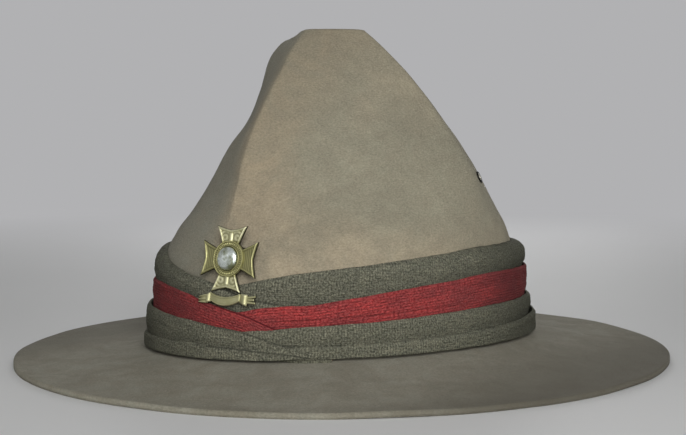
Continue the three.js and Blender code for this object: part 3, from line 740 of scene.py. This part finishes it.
khaki_finish, khaki = new_finish("khaki_wool_cloth")
place, along, up_cloth, down_cloth = cloth_place(khaki)
tone = khaki.noise(place, 1.0, 3.0, stretch=(0.07, 0.14, 0.0)).share(0.36, 0.64)
blotch = khaki.noise(place, 0.26, 5.0, 0.68, stretch=(0.8, 1.6, 0.0)).share(0.38, 0.62)
fleck = khaki.noise(place, 0.95, 4.0, 0.78, stretch=(1.0, 1.2, 0.0)).share(0.37, 0.63)
wobble = khaki.noise(place, 1.0, 2.0, stretch=(0.25, 0.5, 0.0)) * 11.0
wale = (along * (tau / KHAKI_WEAVE.wale) + wobble).math("SINE") * 0.5 + 0.5
course = (up_cloth * (tau / KHAKI_WEAVE.course) + wobble * 0.9).math("SINE") * 0.5 + 0.5
near_edge = 1.0 - down_cloth.ease(3.0, 9.0)
weave = (wale * near_edge.to(0.45, 0.9) + course * 0.35).math("MINIMUM", 1.0)
ground = khaki.mix(tone, (0.244, 0.240, 0.156), (0.388, 0.368, 0.248))
ground = khaki.vary(ground, blotch, (0.80, (0.055, 0.058, 0.044)))
ground = khaki.vary(ground, fleck, (0.74, (0.022, 0.024, 0.018)), (0.46, (0.70, 0.69, 0.52)))
# Painted shade in the grooves between the loops of the weave.
ground = khaki.vary(ground, weave, (0.48, (0.035, 0.035, 0.026)))
# A painted shade line along the upper edge where the end lies over the start.
ground = khaki.mix(lapped_edge_shade(khaki, along, down_cloth) * 0.6, ground, (0.020, 0.021, 0.016))
# Painted shade: the cloth's sides and back are painted darker.
ground = khaki.vary(ground, unshaded_front(khaki, along), (0.50, (0.035, 0.035, 0.027)))
coat(khaki, ground, fleck.to(0.98, 0.88), weave * 0.3 + fleck * 0.35 + blotch * 0.35, 0.0016,
     Sheen_Weight=0.12, Sheen_Roughness=0.5, Sheen_Tint=(0.6, 0.62, 0.5), Specular_IOR_Level=0.1)

red_finish, red = new_finish("red_wool_cloth")
place, along, _, down_cloth = cloth_place(red)
streak = red.noise(place, 1.0, 3.0, 0.6, stretch=(0.10, 0.0, 1.2)).share(0.34, 0.66)
worn = red.noise(place, 1.0, 2.0, stretch=(0.045, 0.0, 0.12)).share(0.36, 0.64)
blotch = red.noise(place, 0.7, 4.0, 0.65, stretch=(0.5, 0.0, 1.0)).share(0.38, 0.64)
fleck = red.noise(place, 0.9, 3.0, 0.72, stretch=(1.0, 0.0, 1.5)).share(0.38, 0.62)
unrest = red.noise(place, 1.0, 3.0, stretch=(0.12, 0.0, 0.5))
rib_top = (down_cloth * (tau / RIB_PITCH) + unrest * 3.0).math("COSINE") * 0.5 + 0.5
ribbed = red.noise(place, 1.3, 2.0, stretch=(0.08, 0.0, 0.25)).share(0.38, 0.62)
ground = red.mix(worn, (0.40, 0.030, 0.036), (0.81, 0.053, 0.051))
ground = red.vary(ground, streak, (0.45, (0.16, 0.012, 0.018)))
ground = red.vary(ground, blotch, (0.60, (0.11, 0.016, 0.020)))
ground = red.vary(ground, fleck, (0.64, (0.07, 0.010, 0.012)), (0.22, (0.88, 0.32, 0.29)))
# Painted shade in the valleys between the ribs.
ground = red.mix((1.0 - rib_top) * ribbed.to(0.14, 0.40), ground, (0.08, 0.008, 0.011))
# A painted shade line along the upper edge where the end lies over the start.
ground = red.mix(lapped_edge_shade(red, along, down_cloth) * 0.8, ground, (0.07, 0.006, 0.009))
# Painted shade: the cloth's sides and back are painted darker.
ground = red.vary(ground, unshaded_front(red, along), (0.72, (0.06, 0.005, 0.008)))
coat(red, ground, fleck.to(0.95, 0.85), fleck * 0.5 + streak * 0.2 + rib_top * 0.3, 0.0006,
     Sheen_Weight=0.12, Sheen_Roughness=0.45, Sheen_Tint=(0.85, 0.4, 0.38), Specular_IOR_Level=0.1)

finishes = {"khaki_wool": khaki_finish, "red_wool": red_finish}
for fold in FOLDS:
    strip = settle(grown(fold["piece"], make_fold_tree(fold, finishes[fold["finish"]])))
    # Its two ends are closed.
    shape = bmesh.new()
    shape.from_mesh(strip.data)
    bmesh.ops.holes_fill(shape, edges=[edge for edge in shape.edges if edge.is_boundary])
    shape.to_mesh(strip.data)
    shape.free()
    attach(strip, "root")
    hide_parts(fold["node"])
# Each fold's flat size is its finished strip with the part behind the next fold. The lowest fold
# is the cloth's hem, and so part of the one above.
wound_length = WOUND.radius * radians(WOUND.end - WOUND.start)
for fold in FOLDS[:-1]:
    heights = [row[fold["top"]] - row[fold["low"]] + WOUND.lap for row in WINDING]
    flat = (sum(heights) / len(heights) * MM, wound_length * MM)


# ----------------------------------------------------------- cross badge
# A die-struck brass plate: a cross of four flared arms with raised edges, a beaded ring round a
# white metal boss, and a bare scroll with folded ends. Two posts on its back pass through the
# felt, and the straight pin through both is the CAD node.

# Sizes are in the badge's own frame: x across it, y up it and z outwards.
BADGE = Sizes(azimuth=4.4, tilt=11.0, thickness=1.2, arm_tip=15.1, arm_width=16.4,
              arm_root=7.2, arm_waist=9.6, waist_at=8.1, tip_notch=1.9, off_posts=(0.3, -0.6))
# The ring's profile by radius: the floor and the top of its wall, the middle, half width and height
# of its inner line, where its ticks start and end, and its beads' middle and half width.
RING = Sizes(radius=8.4, steps=352, floor=0.3, top=0.55, wall=(5.3, 5.6), rounded_from=8.1,
             line=(5.85, 0.36, 0.50), ticks=44, tick_starts=(6.2, 6.5), tick_ends=(7.15, 7.4),
             tick_height=0.38, beads=(7.85, 0.42), bead_height=0.34, bead_depth=0.16)
POSTS = Sizes(radius=1.1, spacing=11.0, up=4.0, length=12.4, pin_depth=10.3, hole=1.5)
SCROLL = Sizes(half=8.2, drop=19.25, rise=2.2, depth=2.05, lift=1.35, gauge=0.9)
CROSS_GRID = Sizes(tip=22, flank=20, rows=50)
# The relief of the arms, by the distance in from their edge: the edge's own rounding, the raised
# border's middle, half width and height, and the sunk field inside it.
RELIEF = Sizes(edge=0.35, edge_drop=0.45, border=(0.72, 0.50), border_height=0.34,
               field=(0.95, 1.5), field_depth=0.22, spine_half=1.2, spine_height=0.52,
               leaf_pitch=1.75, leaf_height=0.22, line_pitch=0.95, line_height=0.16)

badge_azimuth = radians(BADGE.azimuth)
badge_out = around(badge_azimuth, 1.0, radians(BADGE.tilt))
badge_across = Vector((math.cos(badge_azimuth), math.sin(badge_azimuth), 0))
badge_up = badge_out.cross(badge_across)
pin_low, pin_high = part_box("badge_pin")
badge_frame = Matrix((badge_across, badge_up, badge_out)).transposed().to_4x4()
pin_to_face = badge_out * POSTS.pin_depth - badge_up * POSTS.up
badge_frame.translation = (pin_low + pin_high) / 2 + pin_to_face * MM
face_frame = badge_frame @ Matrix.Translation(Vector((*BADGE.off_posts, 0)) * MM)


def shell(face, back, closed_round=False):
    """A closed shell from two grids of points, its face and its back, with a wall between them."""
    count = face.shape[0] * face.shape[1]
    index = np.arange(2 * count).reshape(2, *face.shape[:2])
    if closed_round:
        index = np.concatenate([index, index[:, :, :1]], axis=2)

    def quads(grid):
        corners = [grid[:-1, :-1], grid[:-1, 1:], grid[1:, 1:], grid[1:, :-1]]
        return np.stack([corner.ravel() for corner in corners], axis=1)

    edges = [index[:, 0], index[:, -1]]
    if not closed_round:
        edges += [index[:, :, 0], index[:, :, -1]]
    faces = np.concatenate([quads(index[0]), quads(index[1]), *[quads(edge) for edge in edges]])
    return np.concatenate([face.reshape(-1, 3), back.reshape(-1, 3)]), faces


def struck(name, shells, place, finish):
    """One object from closed shells in millimetres, put in place, with its faces outwards."""
    form = bmesh.new()
    for points, faces in shells:
        corners = [form.verts.new(place @ Vector(point * MM)) for point in points]
        for face in faces:
            ring = list(dict.fromkeys(corners[number] for number in face))
            form.faces.new(ring)
    bmesh.ops.remove_doubles(form, verts=form.verts, dist=2e-7)
    bmesh.ops.dissolve_degenerate(form, edges=form.edges, dist=1e-7)
    bmesh.ops.recalc_face_normals(form, faces=form.faces)
    for face in form.faces:
        face.smooth = True
    mesh = bpy.data.meshes.new(name)
    form.to_mesh(mesh)
    form.free()
    mesh.materials.append(finish)
    # Each point keeps its place in the piece's own frame, in millimetres, for its finish.
    home = place.inverted()
    mark = mesh.attributes.new("struck", "FLOAT_VECTOR", "POINT")
    mark.data.foreach_set("vector", [part / MM for point in mesh.vertices for part in home @ point.co])
    return placed(name, mesh)


def eased(values, low, high):
    """0 at low and 1 at high, eased at both ends."""
    share = np.clip((values - low) / (high - low), 0, 1)
    return share * share * (3 - 2 * share)


def roll(distance, middle, half_width):
    """A round line: 1 in its middle and 0 at half_width to both sides."""
    return (1 - np.clip(np.abs(distance - middle) / half_width, 0, 1) ** 2) ** 1.5


def cross_outline():
    """Points along the cross's edge, anticlockwise: a flank, a notched tip and a flank for each arm."""
    corner = np.array([BADGE.arm_width / 2, BADGE.arm_tip])
    root = np.array([BADGE.arm_root / 2] * 2)
    waist = np.array([BADGE.arm_waist / 2, BADGE.waist_at])
    t = np.linspace(0, 1, CROSS_GRID.flank, endpoint=False)[:, None]
    flank = root * (1 - t) ** 2 + waist * 2 * t * (1 - t) + corner * t ** 2
    s = np.linspace(1, -1, CROSS_GRID.tip * 2, endpoint=False)[:, None]
    tip = np.hstack([corner[0] * s, corner[1] - BADGE.tip_notch * (1 - np.abs(s) ** 1.3)])
    arm = np.concatenate([flank, tip, [corner * [-1, 1]], flank[:0:-1] * [-1, 1]])
    quarter_turn = np.array([[0, 1], [-1, 0]])
    return np.concatenate([arm @ np.linalg.matrix_power(quarter_turn, turns) for turns in range(4)])


def edge_distance(points, outline):
    """Distance of each point from a closed outline."""
    run = np.roll(outline, -1, axis=0) - outline
    away = points[:, None] - outline
    share = np.clip((away * run).sum(2) / (run ** 2).sum(1), 0, 1)
    return np.linalg.norm(away - share[..., None] * run, axis=2).min(1)


def cross_height(x, y, inset):
    """The struck face: a rounded edge, a raised border and, in a sunk field, its ornament."""
    upright = np.abs(y) > np.abs(x)
    along = np.where(upright, np.abs(y), np.abs(x))
    across = np.where(upright, x, y)
    field = eased(inset, *RELIEF.field)
    height = BADGE.thickness - RELIEF.edge_drop * (1 - eased(inset, 0.0, RELIEF.edge))
    height = height + RELIEF.border_height * roll(inset, *RELIEF.border) - RELIEF.field_depth * field
    # Upright arms have a round spine between curled leaves, and side arms fine close lines.
    spine = RELIEF.spine_height * roll(across, 0.0, RELIEF.spine_half) * eased(inset, 0.7, 2.0)
    curl = np.hypot(np.abs(across) - 3.6, along - 9.6)
    leaf = 0.5 + 0.5 * np.cos(tau * (curl / RELIEF.leaf_pitch + 0.12 * np.abs(across)))
    lines = 0.5 + 0.5 * np.cos(tau * along / RELIEF.line_pitch)
    leaves = RELIEF.leaf_height * leaf * field * eased(np.abs(across), 0.9, 1.7)
    return height + np.where(upright, spine + leaves, RELIEF.line_height * lines * field)


outline = cross_outline()
shares = 1 - np.linspace(1, 0, CROSS_GRID.rows) ** 1.5
flat = outline[None] * shares[:, None, None]
inset = edge_distance(flat.reshape(-1, 2), outline).reshape(flat.shape[:2])
face_level = cross_height(flat[..., 0], flat[..., 1], inset)
face_level[0] = BADGE.thickness
cross = shell(np.dstack([flat, face_level]), np.dstack([flat, face_level * 0]), closed_round=True)


def turned(radii, heights, foot, steps):
    """A shell turned about z. heights has a row for each radius, of one level or one for each step."""
    angles = np.linspace(0, tau, steps, endpoint=False)
    x, y = np.outer(radii, np.cos(angles)), np.outer(radii, np.sin(angles))
    level = np.broadcast_to(np.asarray(heights).reshape(len(radii), -1), x.shape)
    return shell(np.dstack([x, y, level]), np.dstack([x, y, level * 0 + foot]), closed_round=True)


# The ring: a plain inner line, a channel with small upright ticks, and a beaded outer line.
radii = np.concatenate([[0.0, 5.0], np.linspace(5.2, RING.radius, 44)])
angles = np.linspace(0, tau, RING.steps, endpoint=False)
tick = 0.5 + 0.5 * np.cos(angles * RING.ticks)
level = BADGE.thickness + RING.floor + (RING.top - RING.floor) * eased(radii, *RING.wall)
line_at, line_half, line_height = RING.line
level = level + line_height * roll(radii, line_at, line_half)
level = (level - eased(radii, RING.rounded_from, RING.radius) ** 2)[:, None]
ticked = eased(radii, *RING.tick_starts) * (1 - eased(radii, *RING.tick_ends))
level = level + RING.tick_height * np.outer(ticked, tick ** 2)
beads = RING.bead_height + RING.bead_depth * np.cos(angles * RING.ticks * 2)
level = level + np.outer(roll(radii, *RING.beads), beads)
ring = turned(radii, level, 0.2, RING.steps)


def ribbon(line, half_depth, height, steps):
    """A strip of struck sheet. The three rules are given the shares along it and across it."""
    along = np.linspace(0, 1, steps[0])[None, :]
    across = np.linspace(-1, 1, steps[1])[:, None]
    x, y = line(along)
    edge = 0.35 * (1 - eased(1 - np.abs(across), 0, 0.24))
    level = height(along, across) - edge
    x = x + 0 * level
    y = y + half_depth(along) * across
    return shell(np.dstack([x, y, level]), np.dstack([x, y, level - SCROLL.gauge + edge]))


def straight(start, end):
    """The line between two points, as a function of the share along it."""
    return lambda along: (start[0] + (end[0] - start[0]) * along, start[1] + (end[1] - start[1]) * along)


def band_line(along):
    """The scroll's sagging middle line."""
    x = SCROLL.half * (2 * along - 1)
    return x, SCROLL.rise * (x / SCROLL.half) ** 2 - SCROLL.drop


def band_depth(along):
    return SCROLL.depth - 0.3 * (2 * along - 1) ** 2


def band_level(along, across):
    return SCROLL.lift + 0.5 * np.sin(pi * along) + 0.24 * roll(np.abs(across), 0.78, 0.16)


# The scroll: a bare band that sags below the bottom arm, its folded ends, and the tails behind.
fold_level = SCROLL.lift - 0.3
behind = SCROLL.lift - 0.35
scroll = [
    ribbon(band_line, band_depth, band_level, (72, 30)),
    ribbon(
        straight((7.9, -17.3), (12.4, -18.1)), lambda along: 1.75 + 0.75 * along ** 0.5,
        lambda along, across: fold_level + 1.1 * np.sin(pi * along ** 1.8) ** 0.8 + 0 * across,
        (40, 24),
    ),
    ribbon(
        straight((-7.4, -17.5), (-10.4, -18.6)), lambda along: 2.2 - 0.5 * along,
        lambda along, across: fold_level + np.sin(pi * along) ** 0.8 + 0 * across,
        (30, 24),
    ),
    ribbon(
        straight((-9.0, -18.3), (-14.2, -18.9)), lambda along: 2.15 - 0.7 * along,
        lambda along, across:
            behind + 0.20 * np.cos(pi * across * 2.2) + 0.5 * np.sin(pi * along) ** 2,
        (36, 30),
    ),
]
# The right tail ends in three tongues.
for rise, reach in [(1.25, 16.6), (0.0, 16.0), (-1.25, 16.8)]:
    scroll.append(ribbon(
        straight((11.4, -17.9 + rise * 0.75), (reach, -17.7 + rise * 1.15)),
        lambda along: 0.70 - 0.14 * along,
        lambda along, across: behind + 0.35 * (1 - across ** 2) - 0.15 * along, (30, 14),
    ))
posts = []
for side in (-1, 1):
    points, faces = turned([0.0, POSTS.radius], [[BADGE.thickness / 2]] * 2, -POSTS.length, 24)
    foot = np.array([side * POSTS.spacing / 2, POSTS.up, 0])
    posts.append((points + foot - [*BADGE.off_posts, 0], faces))

brass_finish, brass = new_finish("struck_brass")
place = brass.node("ShaderNodeTexCoord", out="Object")
tarnish = brass.noise(place, 260.0, 4.0, 0.6).share(0.34, 0.66)
scuff = brass.noise(place, 1500.0, 3.0, 0.6, stretch=(1.0, 1.0, 2.5))
local = brass.node("ShaderNodeAttribute", attribute_name="struck", out=1)
sideways, upwards, off_back = brass.split(local)
upwards = upwards.math("ABSOLUTE")
# The upright arms are polished, the rest is dull. Dirt stays in the hollows of the strike, and the
# raised lines are rubbed bright. The cut edges and the back are painted near black: painted shade.
polished = (upwards - sideways.math("ABSOLUTE")).ease(-0.8, 0.8) * upwards.ease(7.6, 8.6)
polished = polished * (1.0 - upwards.ease(15.4, 16.2) * 0.5)
raised = brass.node("ShaderNodeNewGeometry", out="Pointiness").ease(0.44, 0.56)
dull = brass.mix(raised, (0.13, 0.122, 0.052), (0.44, 0.42, 0.20))
bright = brass.mix(raised, (0.38, 0.36, 0.185), (0.80, 0.78, 0.52))
ground = brass.mix(polished, dull, bright)
ground = brass.vary(ground, tarnish, (0.35, (0.26, 0.25, 0.11)))
# Painted shade on the plate's cut edges and back.
ground = brass.mix(off_back.ease(0.75, 1.15), (0.030, 0.026, 0.013), ground)
coat(brass, ground, tarnish * -0.10 + scuff * 0.12 - raised * 0.06 + 0.52, scuff, 0.00005,
     Metallic=0.75, Specular_IOR_Level=0.5)

badge_plate = struck("struck_plate", [cross, ring, *scroll, *posts], face_frame, brass_finish)
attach(badge_plate, "root")
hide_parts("badge_plate")
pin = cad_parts["badge_pin"]
pin.data.materials.clear()
pin.data.materials.append(brass_finish)


# ------------------------------------------------------------ badge boss
# A polished dome of white metal in the middle of the ring, worn, with dull stains.

BOSS = Sizes(radius=5.3, foot=1.8, spring=2.3, top=4.3)
white_finish, white = new_finish("white_metal")
place = white.node("ShaderNodeTexCoord", out="Object")
stain = white.noise(place, 300.0, 3.0, 0.55).share(0.35, 0.58)
scratch = white.noise(place, 1800.0, 2.0, stretch=(1.0, 1.0, 4.0))
ground = white.mix(stain, (0.26, 0.28, 0.17), (0.90, 0.97, 0.92))
coat(white, ground, 0.36 - stain * 0.13 + scratch * 0.06, stain * 0.7 + scratch * 0.3, 0.00012,
     Metallic=1.0, Specular_IOR_Level=0.5)
turns = np.linspace(pi / 2, 0, 30)
radii = np.append(BOSS.radius * np.cos(turns), BOSS.radius)
level = np.append(BOSS.spring + (BOSS.top - BOSS.spring) * np.sin(turns), BOSS.foot + 0.02)
boss = struck("domed_boss", [turned(radii, level, BOSS.foot, 72)], face_frame, white_finish)
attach(boss, "root")
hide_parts("badge_boss")


# --------------------------------------------------------------- eyelets
# A blackened brass eyelet in each side of the crown lets air out: a rolled flange outside, and a
# barrel clenched over inside the felt. Its lip and mouth are painted bright like bare metal, a
# painted highlight.

EYELET = Sizes(flange=3.1, bore=1.3, barrel=1.9, roll=0.42, length=3.6, clench=2.8,
               hole=2.1, steps=40)
eyelet_finish, lacquer = new_finish("blackened_brass")
place = lacquer.node("ShaderNodeTexCoord", out="Object")
chips = lacquer.noise(place, 700.0, 3.0).share(0.40, 0.62)
local = lacquer.node("ShaderNodeAttribute", attribute_name="struck", out=1)
flat_place = lacquer.vector("MULTIPLY", local, {1: (1.0, 1.0, 0.0)})
away = lacquer.vector("LENGTH", flat_place, out="Value")
# A painted highlight: the lip and mouth are painted bright like bare metal, with a chipped edge.
lip_highlight = (chips * 0.45 + (1.0 - away.ease(1.7, 2.2)) * 0.8).share(0.45, 0.75)
ground = lacquer.mix(lip_highlight, (0.018, 0.017, 0.015), (0.62, 0.60, 0.50))
coat(lacquer, ground, 0.48 - lip_highlight * 0.14, chips, 0.00003, Metallic=0.85, Specular_IOR_Level=0.5)

# The wall's closed outline, as radii and heights: over the rolled rim, in, and down the barrel.
turns = np.linspace(0, pi, 9)
rim = [EYELET.flange - EYELET.roll * (1 - np.sin(turns)), EYELET.roll * (1 - np.cos(turns))]
turns = turns[4:]
mouth = [EYELET.bore + 0.5 * (1 - np.sin(turns)), 2 * EYELET.roll - 0.5 * (1 + np.cos(turns))]
low = -EYELET.length
barrel = np.array([
    (EYELET.bore, low), (EYELET.bore + 0.3, low - 0.45), (EYELET.clench, low - 0.25),
    (EYELET.clench, low + 0.1), (EYELET.barrel, low + 0.1), (EYELET.barrel, 0.0),
])
section = np.concatenate([np.column_stack(rim), np.column_stack(mouth), barrel])
angles = np.linspace(0, tau, EYELET.steps, endpoint=False)
hoop = np.dstack([
    np.outer(section[:, 0], np.cos(angles)), np.outer(section[:, 0], np.sin(angles)),
    np.repeat(section[:, 1:], EYELET.steps, axis=1),
])
index = np.arange(hoop.shape[0] * hoop.shape[1]).reshape(hoop.shape[:2])
onward = np.roll(index, -1, axis=0)
hoop_faces = [index, np.roll(index, -1, axis=1), np.roll(onward, -1, axis=1), onward]
hoop_faces = np.stack(hoop_faces, axis=2).reshape(-1, 4)

eyelet_frames = []
for name in ("eyelet_left", "eyelet_right"):
    low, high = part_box(name)
    middle = (low + high) / 2
    inward = Vector((-middle.x, -middle.y, 0)).normalized()
    _, seat, normal, _ = felt_body.ray_cast(middle - inward * 30 * MM, inward)
    eyelet_frame = normal.to_track_quat("Z", "Y").to_matrix().to_4x4()
    eyelet_frame.translation = seat
    eyelet_frames.append(eyelet_frame)
    eyelet = struck("rolled_" + name, [(hoop.reshape(-1, 3), hoop_faces)], eyelet_frame, eyelet_finish)
    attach(eyelet, "root")
    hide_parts(name)

# The holes for the posts and the eyelets are punched through the felt last.
PUNCH = Sizes(segments=28, depth=30)
MEND = Sizes(merge=0.02, sliver=0.01, least_area=1e-6)
holes = [(place, EYELET.hole) for place in eyelet_frames]
for side in (1, -1):
    foot = Matrix.Translation((side * POSTS.spacing / 2 * MM, POSTS.up * MM, 0))
    holes.insert(0, (badge_frame @ foot, POSTS.hole))
form = bmesh.new()
for place, radius in holes:
    bmesh.ops.create_cone(form, cap_ends=True, segments=PUNCH.segments, radius1=radius * MM,
                          radius2=radius * MM, depth=PUNCH.depth * MM, matrix=place)
punch_mesh = bpy.data.meshes.new("punch")
form.to_mesh(punch_mesh)
form.free()
punch = placed("punch", punch_mesh)
modify(felt_body, "BOOLEAN", operation="DIFFERENCE", object=punch)
settle(felt_body)
bpy.data.objects.remove(punch)
# Folded slivers inside the peak are merged away, and what is left open is filled.
mend = bmesh.new()
mend.from_mesh(felt_body.data)
bmesh.ops.remove_doubles(mend, verts=mend.verts, dist=MEND.merge * MM)
bmesh.ops.dissolve_degenerate(mend, edges=mend.edges, dist=MEND.sliver * MM)
bmesh.ops.triangulate(mend, faces=[face for face in mend.faces if len(face.verts) > 4])
bmesh.ops.dissolve_degenerate(mend, edges=mend.edges, dist=MEND.merge * MM)
spare_points = [vert for vert in mend.verts if len(vert.link_edges) == 2]
bmesh.ops.dissolve_verts(mend, verts=spare_points)
flat_faces = [face for face in mend.faces if face.calc_area() < MEND.least_area * MM * MM]
bmesh.ops.delete(mend, geom=flat_faces, context="FACES")
bmesh.ops.holes_fill(mend, edges=[edge for edge in mend.edges if edge.is_boundary])
mend.to_mesh(felt_body.data)
mend.free()
